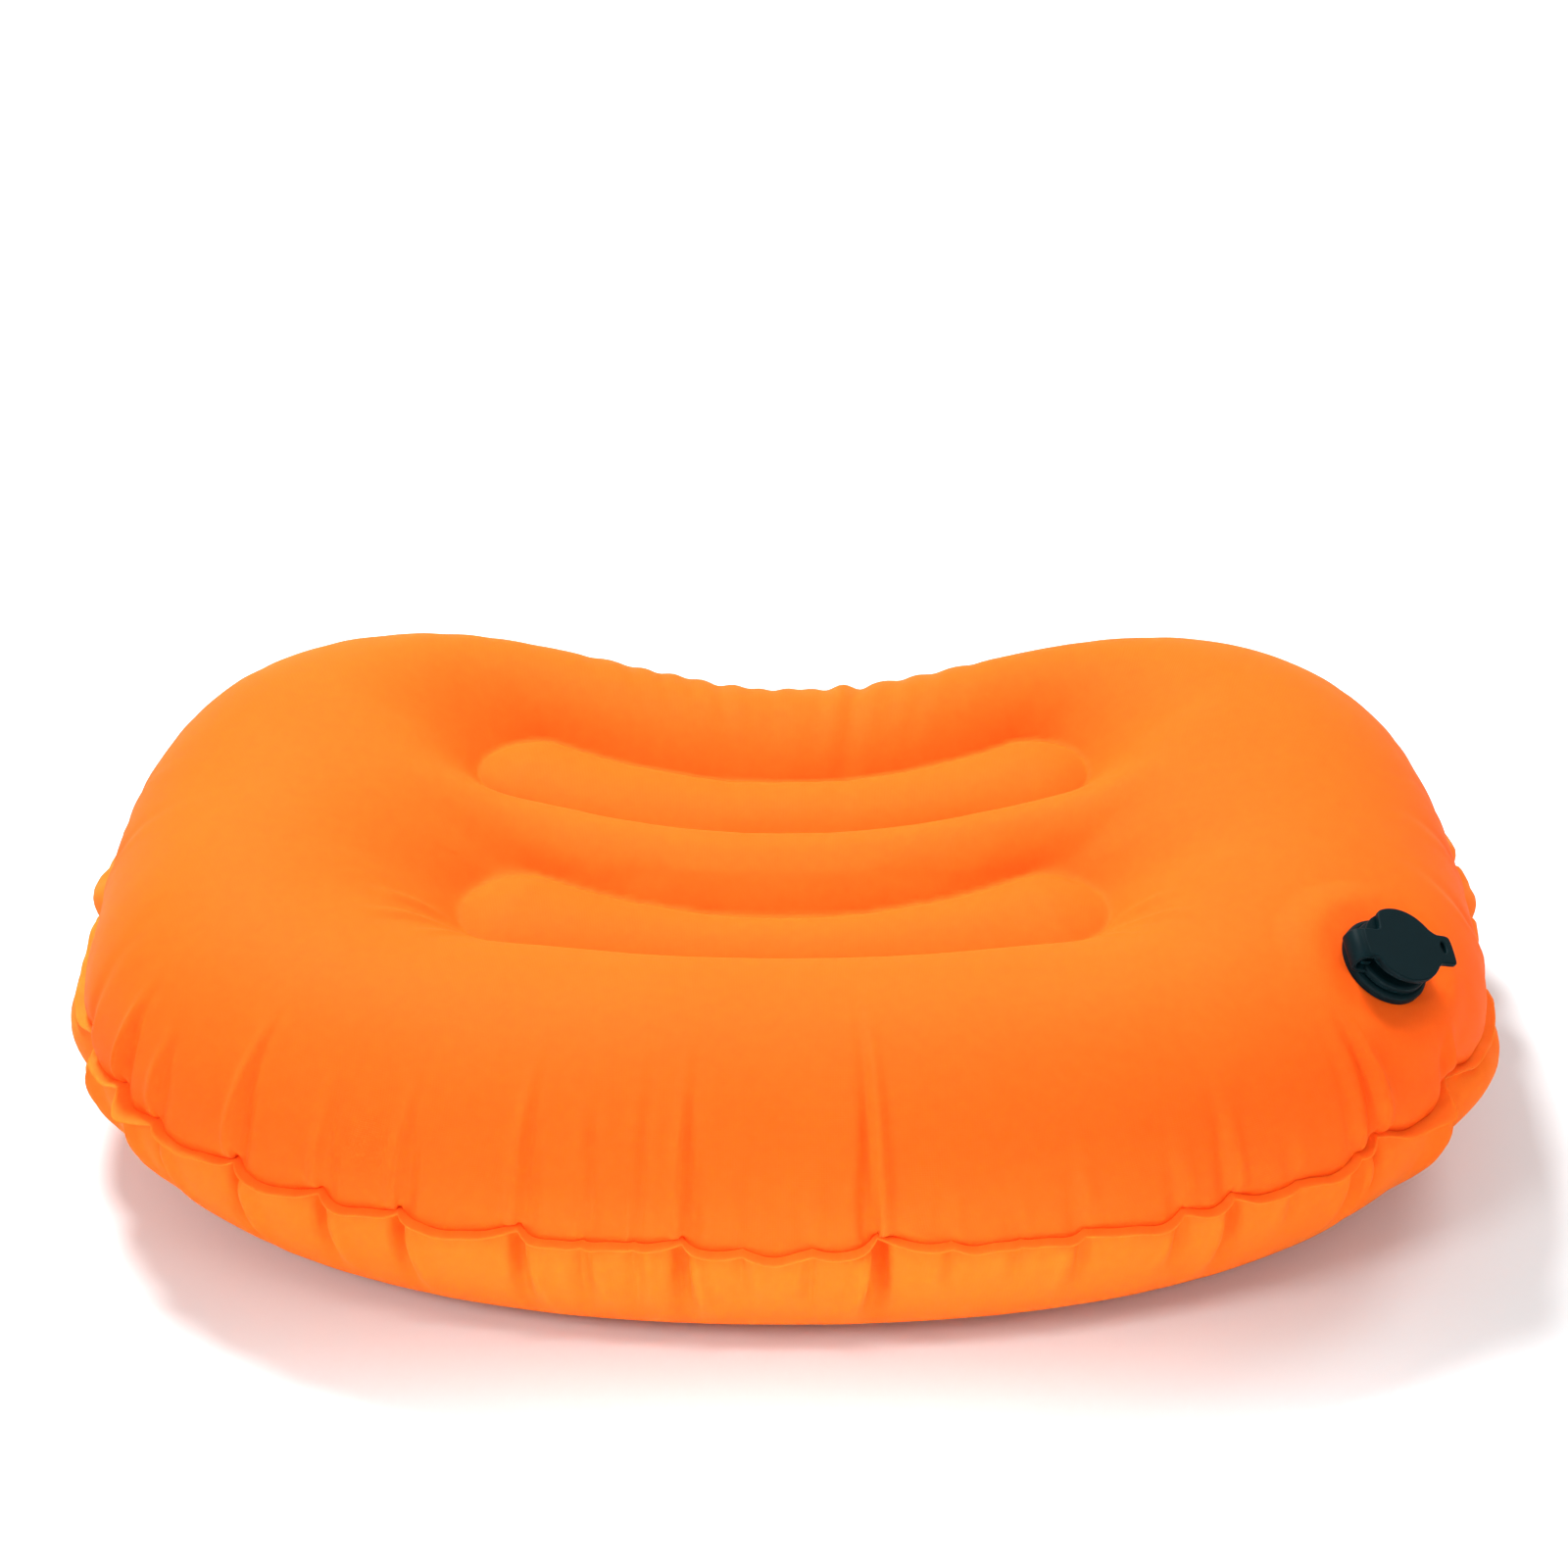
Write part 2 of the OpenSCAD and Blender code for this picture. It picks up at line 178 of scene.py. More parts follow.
class Grid:
    """Columns run around the rim, rows from the rim in to the spine, spaced evenly along the cloth."""

    def __init__(self, n, m, under):
        self.n, self.m, self.under = n, m, under
        self.a = even_angles(n)
        u = math.pi * (np.arange(n // 2) + 0.5) / (n // 2)
        c = np.cos(np.concatenate([u, math.pi + u]))
        self.rim = rim_point(self.a)
        self.spine = np.stack([SPINE_HALF * c, SPINE_Y + SPINE_SAG * c * c], -1)
        step = np.roll(self.rim, -1, 0) - np.roll(self.rim, 1, 0)
        along = step / np.linalg.norm(step, axis=1, keepdims=True)
        self.out = np.stack([along[:, 1], -along[:, 0]], -1)
        gap = np.linalg.norm(np.roll(self.rim, -1, 0) - self.rim, axis=1)
        self.s = np.concatenate([[0], np.cumsum(gap)[:-1]])
        self.perimeter = gap.sum()
        self._fill()

    def heights(self, v):
        """Points at shares v (rows, columns) of the way in from the rim, and how free each is of the welds."""
        c, s = np.cos(self.a), np.sin(self.a)
        lobe = np.where(s < 0, c ** 2, 1 - s ** 2 * np.exp(-((self.rim[:, 0] - NECK_X) / NECK_DIP_W) ** 2))
        crest = mix(np.where(s < 0, FRONT_CREST, BACK_CREST), LOBE_CREST, lobe)
        roll = mix(np.where(s < 0, FRONT_TOP, BACK_TOP), LOBE_TOP, lobe)
        vc = np.minimum(0.9, crest / np.linalg.norm(self.rim - self.spine, axis=1))
        ridge = mix(RIDGE_TOP, RIDGE_END_TOP, c ** 2)
        fade = 0.5 * (1 + np.cos(math.pi * np.clip((v - vc) / (1 - vc), 0, 1)))
        p = mix(self.rim[None], self.spine[None], v[..., None])
        if self.under:
            z = np.where(v < vc, mix(SEAM_Z, -REST_FLAT, round_in(v / vc)), mix(HOLLOW_TOP, -REST_FLAT, fade))
        else:
            z = np.where(v < vc, mix(SEAM_Z, roll, round_in(v / vc)), mix(ridge, roll, fade))
        weld = np.ones_like(z)
        for slot in SLOTS:
            d, side, half_w, end, out_by = slot_gap(p[..., 0], p[..., 1], slot)
            wide = mix(mix(slot["near"], slot["far"], side), mix(END_NEAR, END_FAR, side), end)
            rise = np.sin(math.pi / 2 * np.clip((d - half_w) / wide, 0, 1)) ** 0.9
            crown = SLOT_CROWN * np.clip(1 - (d / half_w) ** 2, 0, 1)
            floor = slot["weld"] + SLOT_RISE * out_by + (-crown - SHEET_GAP if self.under else crown)
            z = mix(floor, z, rise)
            weld = np.minimum(weld, np.clip(np.abs(d - half_w) / WELD_EDGE, 0, 1))
        if self.under:
            z = np.maximum(z, 0)
        return np.concatenate([p, z[..., None]], -1), weld

    def _fill(self):
        """Spaces the rows evenly along the cloth, by its length from the rim."""
        fine = np.linspace(0, 1, 240)[:, None] ** 1.6 * np.ones((1, self.n))
        p, _ = self.heights(fine)
        steps = np.linalg.norm(np.diff(p, axis=0), axis=2)
        arc = np.concatenate([np.zeros((1, self.n)), np.cumsum(steps, 0)])
        self.arc = arc[-1]
        share = np.linspace(0, 1, self.m)
        v = np.stack([np.interp(share * arc[-1, i], arc[:, i], fine[:, i]) for i in range(self.n)], 1)
        self.p, self.weld = self.heights(v)
        self.dist = share[:, None] * self.arc[None]
        self.patch = np.zeros_like(self.dist)
        if not self.under:
            flatten_at_valve(self)

    def normals(self):
        du = np.roll(self.p, -1, 1) - np.roll(self.p, 1, 1)
        dv = np.gradient(self.p, axis=0)
        n = np.cross(du, dv)
        n /= np.maximum(np.linalg.norm(n, axis=2, keepdims=True), 1e-12)
        return -n if self.under else n


# ---------------------------------------------------------------- puckers along the seam
# along the front: x of each pucker in mm, how deep it is, and how far its fold runs up in mm
FRONT_PUCKERS = ((-186, 1.2, 26), (-175, 0.8, 24), (-151, 1.1, 34), (-126, 0.9, 22), (-104, 1.0, 26),
                 (-71, 1.0, 36), (-54, 0.45, 34), (-40, 0.35, 40), (-27, 1.0, 38), (-11, 0.3, 20), (8, 0.3, 20),
                 (25, 1.5, 46), (45, 0.35, 14), (63, 0.3, 12), (81, 0.5, 18), (107, 0.6, 16), (122, 0.8, 26),
                 (140, 0.3, 14), (158, 0.5, 30), (164, 1.2, 40), (186, 1.1, 26))
# along the back at the neck hollow the folds run right over the back roll
BACK_PUCKERS = ((-66, 0.3, 62), (-52, 0.35, 66), (-43, 0.5, 72), (-33, 0.4, 64), (-22, 0.55, 76),
                (-12, 0.35, 66), (-4, 0.5, 72), (6, 0.3, 62), (14, 0.5, 74), (26, 1.0, 70), (39, 0.4, 66),
                (51, 0.35, 70), (64, 0.3, 60))
# at the two ends: y of each pucker in mm, how deep, how far its fold runs
SIDE_PUCKERS = {-1: ((-48, 2.0, 30), (22, 2.2, 34), (56, 1.6, 30), (88, 1.1, 26)),
                1: ((-68, 1.8, 30), (-16, 2.2, 34), (21, 2.0, 32), (48, 1.5, 26), (78, 1.0, 26))}
# behind each lobe they are drawn at random between these two widths, in mm
LOBE_BACK = (190, 74)
# at each end of the front slot: direction in degrees, start and end in mm from the end's middle, height in mm
SLOT_WRINKLES = {-1: ((-14, 24, 52, 0.9), (-29, 24, 58, 1.0), (-46, 24, 50, 0.8)),
                 1: ((-12, 24, 46, 0.7), (-30, 26, 54, 0.9), (-50, 24, 46, 0.6))}
WRINKLE_W = 2.6 * MM
PETAL = 6 * MM                        # how far the lower panel swells out between two puckers at an end
SHARP_SIDE, SOFT_SIDE = 2.6 * MM, 9 * MM
PUCKER_IN, PUCKER_UP = 4.2 * MM, 3.4 * MM
JITTER = 0.3 * MM                     # small waves of the seam between the puckers
FOLD, FOLD_W = 2.9 * MM, 1.7 * MM
FOLD_SHARE = {"front": 0.85, "side": 0.2, "back": 0.6}
UNDER_SHARE, UNDER_RUN = 1.7, 26 * MM


def pucker_list(grid):
    """(place, depth, fold length, sharp side, where) of each pucker, some of them drawn at random."""
    rng = np.random.default_rng(11)
    x, y = grid.rim[:, 0], grid.rim[:, 1]
    front = np.sin(grid.a) < 0

    def nearest(here, off):
        return grid.s[np.where(here, np.abs(off), 1).argmin()]

    out = []
    edges = ((FRONT_PUCKERS, front, -1, "front"), (BACK_PUCKERS, ~front, 1, "back"))
    for chosen, here, outward, where in edges:
        for x0, depth, run in chosen:
            out.append((nearest(here, x - x0 * MM), depth, run * MM, outward * np.sign(x0), where))
    for side, chosen in SIDE_PUCKERS.items():
        for y0, depth, run in chosen:
            out.append((nearest(x * side > 120 * MM, y - y0 * MM), depth, run * MM, -side, "side"))
    for side in (-1, 1):
        lo, hi = sorted(nearest(~front, x - side * x0 * MM) for x0 in LOBE_BACK)
        s = lo + 12 * MM
        while s < hi - 8 * MM:
            depth, run = rng.uniform(0.7, 1.7), rng.uniform(18, 40) * MM
            out.append((s % grid.perimeter, depth, run, rng.choice((-1, 1)), "side"))
            s += rng.uniform(15, 32) * MM
    return out


def petals(grid, puckers):
    """At the two ends the lower panel swells out between one pucker and the next: 0 at a pucker, 1 halfway."""
    out = np.zeros(grid.n)
    for side in (-1, 1):
        ends = sorted(s0 for s0, _, _, sharp, where in puckers
                      if where == "side" and np.interp(s0, grid.s, grid.rim[:, 0]) * side > 150 * MM)
        s = grid.s
        if ends[-1] - ends[0] > grid.perimeter / 2:
            ends = sorted((e + grid.perimeter / 2) % grid.perimeter for e in ends)
            s = (grid.s + grid.perimeter / 2) % grid.perimeter
        for lo, hi in zip(ends[:-1], ends[1:]):
            u = np.clip((s - lo) / (hi - lo), 0, 1)
            out += 1 - np.abs(2 * u - 1) ** 2.4
    return out * (1 + 0.7 * ease(grid.rim[:, 1] / (45 * MM)))


def slot_wrinkles(p):
    """Short soft wrinkles that fan out from the ends of the front slot."""
    out = np.zeros(p.shape[:2])
    for side in (-1, 1):
        dx, dy = p[..., 0] * side - 70 * MM, p[..., 1] - (FRONT_SLOT["y"] + 8 * MM)
        r = np.hypot(dx, dy)
        for turn, lo, hi, high in SLOT_WRINKLES[side]:
            off = np.arctan2(dy, dx) - math.radians(turn)
            along = np.clip((r / MM - lo) / (hi - lo), 0, 1)
            out += high * MM * np.sin(math.pi * along) ** 1.5 * np.exp(-(r * off / WRINKLE_W) ** 2)
    return out


def place_puckers(grid, puckers, folds=1.0):
    """Draws the seam in and up at each pucker, with a fold that runs on over the wall and fades."""
    m = grid.dist
    wave = np.zeros(grid.n)
    fold = np.zeros_like(m)
    for s0, depth, run, sharp, where in puckers:
        d = (grid.s - s0 + grid.perimeter / 2) % grid.perimeter - grid.perimeter / 2
        wave += depth * np.exp(-np.abs(d) / np.where(d * sharp > 0, SHARP_SIDE, SOFT_SIDE))
        if grid.under or where != "front":  # a valley with a soft ridge beside it
            wide = FOLD_W + 0.05 * m
            ridge = 0.6 * np.exp(-((d[None] - 1.9 * sharp * wide) / (1.15 * wide)) ** 2)
            shape = ridge - np.exp(-(d[None] / wide) ** 2)
        else:  # a ridge with a soft valley beside it
            wide = FOLD_W * (1.0 + 0.4 * np.exp(-((m - 12 * MM) / (14 * MM)) ** 2))
            off = d[None] + 1.5 * sharp * MM
            valley = 0.8 * np.exp(-((off - 1.9 * sharp * wide) / (0.9 * wide)) ** 2)
            shape = np.exp(-(off / wide) ** 2) - valley
        share = UNDER_SHARE if grid.under else FOLD_SHARE[where]
        run = min(run, UNDER_RUN) if grid.under else run
        fade = np.exp(-(m / run) ** (3 if where == "front" else 2)) * (1 - np.exp(-m / (2.5 * MM)))
        fold += depth * FOLD * share * fade * shape
    wave = 2 * np.tanh(wave / 2)
    turn = grid.s / grid.perimeter * 2 * math.pi
    jitter = sum(np.sin(turn * k + 1.7 * k) for k in (43, 67, 88)) * JITTER
    near = np.exp(-(m / ((15 if grid.under else 7) * MM)) ** 1.4)
    lift = np.exp(-(m / (13 * MM)) ** 1.4)
    out3 = np.concatenate([grid.out, np.zeros((grid.n, 1))], 1)
    p = grid.p
    p -= (wave * PUCKER_IN)[None, :, None] * near[..., None] * out3[None]
    p[..., 2] += (wave * PUCKER_UP + jitter - 0.6 * PUCKER_UP)[None] * lift
    away = m / BULGE_AT * np.exp(1 - m / BULGE_AT)
    bulge = BULGE * 0.4 + PETAL * petals(grid, puckers) if grid.under else np.full(grid.n, BULGE)
    p += (bulge * away)[..., None] * out3[None]
    if not grid.under:
        fold += slot_wrinkles(p)
    p += grid.normals() * (folds * fold * (1 - grid.patch))[..., None]
    if grid.under:
        p[..., 2] = np.maximum(p[..., 2], 0)


def soften_spine_ends(grid):
    """Evens out the cloth where the columns crowd together at the two ends of the spine."""
    p = grid.p
    mirror = grid.n - 1 - np.arange(grid.n)
    left, right = (np.linalg.norm(p[..., :2] - np.array([side * SPINE_HALF, SPINE_Y + SPINE_SAG]), axis=2)
                   for side in (-1, 1))
    k = np.exp(-(np.minimum(left, right) / (11 * MM)) ** 2)[..., None]
    for _ in range(50):
        around = np.roll(p, 1, 1) + np.roll(p, -1, 1) + np.concatenate([p[:1], p[:-1]])
        around += np.concatenate([p[1:], p[-2][mirror][None]])
        p += (around / 4 - p) * k


# ---------------------------------------------------------------- meshes
def grid_faces(n, m, flip):
    """The quads between m rows of n points, each row closed around the rim."""
    i = np.arange(n)
    k = (i + 1) % n
    rows = [np.stack([j * n + i, j * n + k, (j + 1) * n + k, (j + 1) * n + i], 1) for j in range(m - 1)]
    quads = np.concatenate(rows)
    return quads[:, ::-1] if flip else quads


def mesh_piece(name, verts, faces, mats):
    me = bpy.data.meshes.new(name)
    me.from_pydata([tuple(v) for v in verts], [], [tuple(int(k) for k in f) for f in faces])
    me.update()
    for mat in mats:
        me.materials.append(mat)
    me.shade_smooth()
    obj = bpy.data.objects.new(name, me)
    scene.collection.objects.link(obj)
    return obj


def set_flat_uv(obj, flat, faces):
    """Where each corner of the faces lies on the flat cloth, for the weave to follow."""
    layer = obj.data.uv_layers.new(name="flat")
    layer.data.foreach_set("uv", flat[faces.reshape(-1)].astype(np.float32).reshape(-1))


def in_valve_hole(points):
    """Where the fabric is cut away for the valve's neck, under its collar."""
    h, r = from_valve(points)
    return (r < VALVE_HOLE_R) & (np.abs(h) < VALVE_NEAR)


def spine_pairs(n, m):
    """Indices of the last row's points on one side of the spine, and of their mirrored points."""
    half = np.arange(n // 2)
    return (m - 1) * n + half, m * n - 1 - half


def renumbered(faces, total):
    """The points that the faces use, and each point's number once the others are dropped."""
    used = np.unique(faces)
    new = np.full(total, -1)
    new[used] = np.arange(len(used))
    return used, new


def flat_pattern(grid, reach):
    """Where each point lies on the panel before it is welded and blown up."""
    way = grid.rim - grid.spine
    way /= np.linalg.norm(way, axis=1, keepdims=True)
    far = reach[None] * (1 - grid.dist / grid.arc[None])
    return grid.spine[None] + way[None] * far[..., None]


def sheet_mesh(name, grid, mats):
    """One sheet: the last row's mirrored points are merged on the spine."""
    n, m = grid.n, grid.m
    verts = grid.p.reshape(-1, 3).copy()
    one, other = spine_pairs(n, m)
    verts[one] = (verts[one] + verts[other]) / 2
    index = np.arange(n * m)
    index[other] = one
    quads = grid_faces(n, m, grid.under)
    quads = quads[~in_valve_hole(verts[quads].mean(axis=1))]
    used, new = renumbered(index[quads], n * m)
    obj = mesh_piece(name, verts[used], new[index[quads]], mats)
    set_flat_uv(obj, flat_pattern(grid, grid.arc).reshape(-1, 2), quads)
    return obj


# ---------------------------------------------------------------- blowing the fabric up
SIM_SCALE = 10.0                      # the solver behaves better on a bag some metres wide
SIM_FRAMES = 24
SIM_SIZE = (288, 40)                  # columns and rows of each coarse sheet
SIM_CAP = 9 * MM                      # the most that any point may move
SIM_SMOOTH = 2
CLOTH = dict(quality=6, mass=0.3, air_damping=2,
             tension_stiffness=40, compression_stiffness=12, shear_stiffness=8, bending_stiffness=2.0,
             tension_damping=15, compression_damping=15, shear_damping=15, bending_damping=2,
             use_pressure=True, uniform_pressure_force=6.0, pin_stiffness=4)


def closed_mesh(top, low):
    """Both sheets as one closed bag: the seam's points are shared, and each spine is folded shut."""
    n, m = top.n, top.m
    index_top = np.arange(n * m)
    index_low = np.concatenate([np.arange(n), n * m + np.arange(n * (m - 1))])
    one, other = spine_pairs(n, m)
    for index in (index_top, index_low):
        index[other] = index[one]
    faces = np.concatenate([index_top[grid_faces(n, m, False)], index_low[grid_faces(n, m, True)]])
    used, new = renumbered(faces, n * m * 2)
    return new[index_top], new[index_low], new[faces], used


def blow_up(top, low):
    """Cloth pass on the coarse bag. Returns how far each point of the two sheets moves."""
    n, m = top.n, top.m
    at_top, at_low, faces, used = closed_mesh(top, low)
    both = np.concatenate([top.p.reshape(-1, 3), low.p[1:].reshape(-1, 3)])[used]
    reach = (top.arc + low.arc) / 2
    flat = np.zeros((len(used), 3))
    hold = np.zeros(len(used))
    for grid, at, side in ((low, at_low, -1), (top, at_top, 1)):
        flat[at, :2] = flat_pattern(grid, reach).reshape(-1, 2)
        flat[at, 2] = side * 0.2 * MM * (grid.dist.reshape(-1) > 0)
        pin = 1 - grid.weld
        pin[0] = 1
        if grid.under:
            pin = np.maximum(pin, np.clip(1 - grid.p[..., 2] / (2 * MM), 0, 1) * 0.9)
        else:
            pin = np.maximum(pin, grid.patch)
        hold[at] = np.maximum(hold[at], pin.reshape(-1))
    bag = mesh_piece("bag", both * SIM_SCALE, faces, [])
    bag.shape_key_add(name="Basis")
    key = bag.shape_key_add(name="flat")
    key.data.foreach_set("co", (flat * SIM_SCALE).reshape(-1))
    group = bag.vertex_groups.new(name="hold")
    hold = np.round(hold, 1)
    for share in np.unique(hold[hold > 0]):
        group.add([int(i) for i in np.flatnonzero(hold == share)], float(share), "REPLACE")
    mod = bag.modifiers.new("cloth", "CLOTH")
    for setting, value in CLOTH.items():
        setattr(mod.settings, setting, value)
    mod.settings.effector_weights.gravity = 0
    mod.settings.vertex_group_mass = "hold"
    mod.settings.rest_shape_key = key
    mod.collision_settings.use_collision = False
    mod.point_cache.frame_start = 1
    mod.point_cache.frame_end = SIM_FRAMES + 1
    for f in range(1, SIM_FRAMES + 2):
        scene.frame_set(f)
    deps = bpy.context.evaluated_depsgraph_get()
    done = bag.evaluated_get(deps)
    out = np.zeros(len(used) * 3)
    done.data.vertices.foreach_get("co", out)
    moved = out.reshape(-1, 3) / SIM_SCALE - both
    bpy.data.objects.remove(bag)
    scene.frame_set(1)
    size = np.linalg.norm(moved, axis=1, keepdims=True)
    print("cloth moved mm: mean %.2f, 95%% %.2f, most %.2f" % tuple(
        1000 * v for v in (size.mean(), np.percentile(size, 95), size.max())))
    moved *= SIM_CAP * np.tanh(size / SIM_CAP) / np.maximum(size, 1e-9)
    fields = [moved[at].reshape(m, n, 3) for at in (at_top, at_low)]
    for f in fields:
        for _ in range(SIM_SMOOTH):
            f[:] = 0.5 * f + 0.25 * (np.roll(f, 1, 1) + np.roll(f, -1, 1))
            f[1:-1] = 0.5 * f[1:-1] + 0.25 * (f[:-2] + f[2:])
    return fields


def curve_between(a, b, c, d, t):
    """The smooth curve through four values in a row, at share t of the way from b to c."""
    return b + 0.5 * t * (c - a + t * (2 * a - 5 * b + 4 * c - d + t * (3 * (b - c) + d - a)))


def refined(field, m, n):
    """A coarse field over (rows, columns) on a finer grid, by smooth interpolation."""
    def along(values, where, wrap):
        k = len(values)
        base = np.floor(where).astype(int)
        t = (where - base).reshape((-1,) + (1,) * (values.ndim - 1))
        get = (lambda i: values[i % k]) if wrap else (lambda i: values[np.clip(i, 0, k - 1)])
        return curve_between(*(get(base + o) for o in (-1, 0, 1, 2)), t)
    rows = along(field, np.linspace(0, 1, m) * (field.shape[0] - 1), False)
    half = rows.shape[1] // 2
    place = (np.arange(n // 2) + 0.5) / (n // 2) * half - 0.5
    cols = along(rows.transpose(1, 0, 2), np.concatenate([place, place + half]), True)
    return cols.transpose(1, 0, 2)


# ---------------------------------------------------------------- materials
def new_material(name):
    mat = bpy.data.materials.new(name)
    mat.use_nodes = True
    nt = mat.node_tree
    return mat, nt, nt.nodes["Principled BSDF"]


def add_node(nt, kind, links=None, **values):
    """A shader node with its inputs and settings given by name, and its links by input."""
    made = nt.nodes.new(kind)
    for key, value in values.items():
        if key in made.inputs:
            made.inputs[key].default_value = value
        else:
            setattr(made, key, value)
    for key, source in (links or {}).items():
        nt.links.new(source, made.inputs[key])
    return made


def maths(nt, operation, a, b=None):
    """The output of one sum on numbers or sockets."""
    made = nt.nodes.new("ShaderNodeMath")
    made.operation = operation
    for k, value in enumerate((a, b)):
        if value is None:
            continue
        if isinstance(value, (int, float)):
            made.inputs[k].default_value = value
        else:
            nt.links.new(value, made.inputs[k])
    return made.outputs[0]


def ramped(nt, factor, colours, places=(0, 1)):
    """A colour that runs from the first to the second as factor does."""
    ramp = nt.nodes.new("ShaderNodeValToRGB")
    for stop, place, colour in zip(ramp.color_ramp.elements, places, colours):
        stop.position = place
        stop.color = (*colour, 1)
    nt.links.new(factor, ramp.inputs[0])
    return ramp.outputs[0]


THREAD = 0.45 * MM


def fabric_material(name, colour):
    """Plain-woven coated polyester: weave and slub from the flat pattern, colour a little uneven."""
    mat, nt, bsdf = new_material(name)
    bsdf.inputs["Specular IOR Level"].default_value = 0.03
    bsdf.inputs["Subsurface Weight"].default_value = 0.25
    bsdf.inputs["Subsurface Radius"].default_value = (1.0, 0.2, 0.05)
    bsdf.inputs["Subsurface Scale"].default_value = 0.004
    uv = add_node(nt, "ShaderNodeUVMap", uv_map="flat")
    split = add_node(nt, "ShaderNodeSeparateXYZ", {"Vector": uv.outputs[0]})
    waves = []
    for axis in ("X", "Y"):
        turns = maths(nt, "MULTIPLY", split.outputs[axis], math.pi / THREAD)
        waves.append(maths(nt, "SINE", turns))
    weave = maths(nt, "ABSOLUTE", maths(nt, "MULTIPLY", *waves))
    slub = add_node(nt, "ShaderNodeTexNoise", {"Vector": uv.outputs[0]}, Scale=1400.0, Detail=2.0)
    grain = add_node(nt, "ShaderNodeTexNoise", {"Vector": uv.outputs[0]}, Scale=260.0, Detail=3.0)
    cloud = add_node(nt, "ShaderNodeTexNoise", {"Vector": uv.outputs[0]}, Scale=14.0, Detail=2.0)
    height = maths(nt, "ADD", maths(nt, "MULTIPLY", weave, 0.7), maths(nt, "MULTIPLY", slub.outputs[0], 0.6))
    height = maths(nt, "ADD", height, maths(nt, "MULTIPLY", grain.outputs[0], 0.8))
    bump = add_node(nt, "ShaderNodeBump", {"Height": height}, Strength=0.35, Distance=0.00012)
    nt.links.new(bump.outputs[0], bsdf.inputs["Normal"])
    tone = maths(nt, "MULTIPLY", maths(nt, "ADD", grain.outputs[0], cloud.outputs[0]), 0.5)
    red, green, blue = colour
    shades = ((red * 0.97, green * 0.93, blue * 0.9), (min(1, red * 1.02), green * 1.07, blue * 1.1))
    nt.links.new(ramped(nt, tone, shades, (0.3, 0.7)), bsdf.inputs["Base Color"])
    rough = maths(nt, "ADD", maths(nt, "MULTIPLY", grain.outputs[0], 0.16), 0.56)
    nt.links.new(rough, bsdf.inputs["Roughness"])
    return mat


def moulded_material(name, colour, rough, specular, through=0.0):
    """Moulded rubber: a fine matt grain and faint cloudiness."""
    mat, nt, bsdf = new_material(name)
    bsdf.inputs["Specular IOR Level"].default_value = specular
    bsdf.inputs["Subsurface Weight"].default_value = through
    bsdf.inputs["Subsurface Scale"].default_value = 0.001
    place = add_node(nt, "ShaderNodeTexCoord")
    grain = add_node(nt, "ShaderNodeTexNoise", {"Vector": place.outputs["Object"]}, Scale=3200.0, Detail=2.0)
    cloud = add_node(nt, "ShaderNodeTexNoise", {"Vector": place.outputs["Object"]}, Scale=160.0, Detail=3.0)
    bump = add_node(nt, "ShaderNodeBump", {"Height": grain.outputs[0]}, Strength=0.25, Distance=0.00006)
    nt.links.new(bump.outputs[0], bsdf.inputs["Normal"])
    uneven = maths(nt, "ADD", maths(nt, "MULTIPLY", cloud.outputs[0], 0.14), rough - 0.07)
    nt.links.new(uneven, bsdf.inputs["Roughness"])
    shades = ([c * 0.85 for c in colour], [min(1, c * 1.15) for c in colour])
    nt.links.new(ramped(nt, cloud.outputs[0], shades), bsdf.inputs["Base Color"])
    return mat


top_mat = fabric_material("top_weave", (0.93, 0.108, 0.0085))
# painted light: the bottom panel's fabric is the same orange as the top's, painted lighter to stand in for light
# thrown up from the floor onto the underside
bounce_lit_low_mat = fabric_material("bottom_weave", (0.94, 0.15, 0.012))
# painted highlight: the weld lip's fabric is painted lighter than both panels, so the lip shows as the lit line
# along the seam
lip_highlight_mat = fabric_material("weld_edge", (0.95, 0.17, 0.016))
tpu_mat = moulded_material("valve_rubber", (0.0006, 0.008, 0.0102), 0.5, 0.06)
silicone_mat = moulded_material("flap_silicone", (0.62, 0.64, 0.62), 0.35, 0.5, 0.2)


# ---------------------------------------------------------------- build
N_FINE, M_FINE = 900, 110
fine_top = Grid(N_FINE, M_FINE, False)
fine_low = Grid(N_FINE, M_FINE, True)
puckers = pucker_list(fine_top)
for g in (fine_top, fine_low):
    place_puckers(g, puckers)
coarse = [Grid(*SIM_SIZE, under) for under in (False, True)]
for g in coarse:
    place_puckers(g, puckers, 0.0)
moved = blow_up(*coarse)
for g, field in zip((fine_top, fine_low), moved):
    g.p += refined(field, M_FINE, N_FINE)
fine_low.p[..., 2] = np.maximum(fine_low.p[..., 2], 0)
soften_spine_ends(fine_top)

top_cloth = sheet_mesh("top_cloth", fine_top, [top_mat])
# the bottom sheet wears the lighter copy of the fabric, painted bounce light from the floor
low_cloth = sheet_mesh("bottom_cloth", fine_low, [bounce_lit_low_mat])
for piece, node, slot_name in ((top_cloth, "top_panel", "top_fabric"),
                               (low_cloth, "bottom_panel", "bottom_fabric")):
    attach(piece, "pillow")
    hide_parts(node)

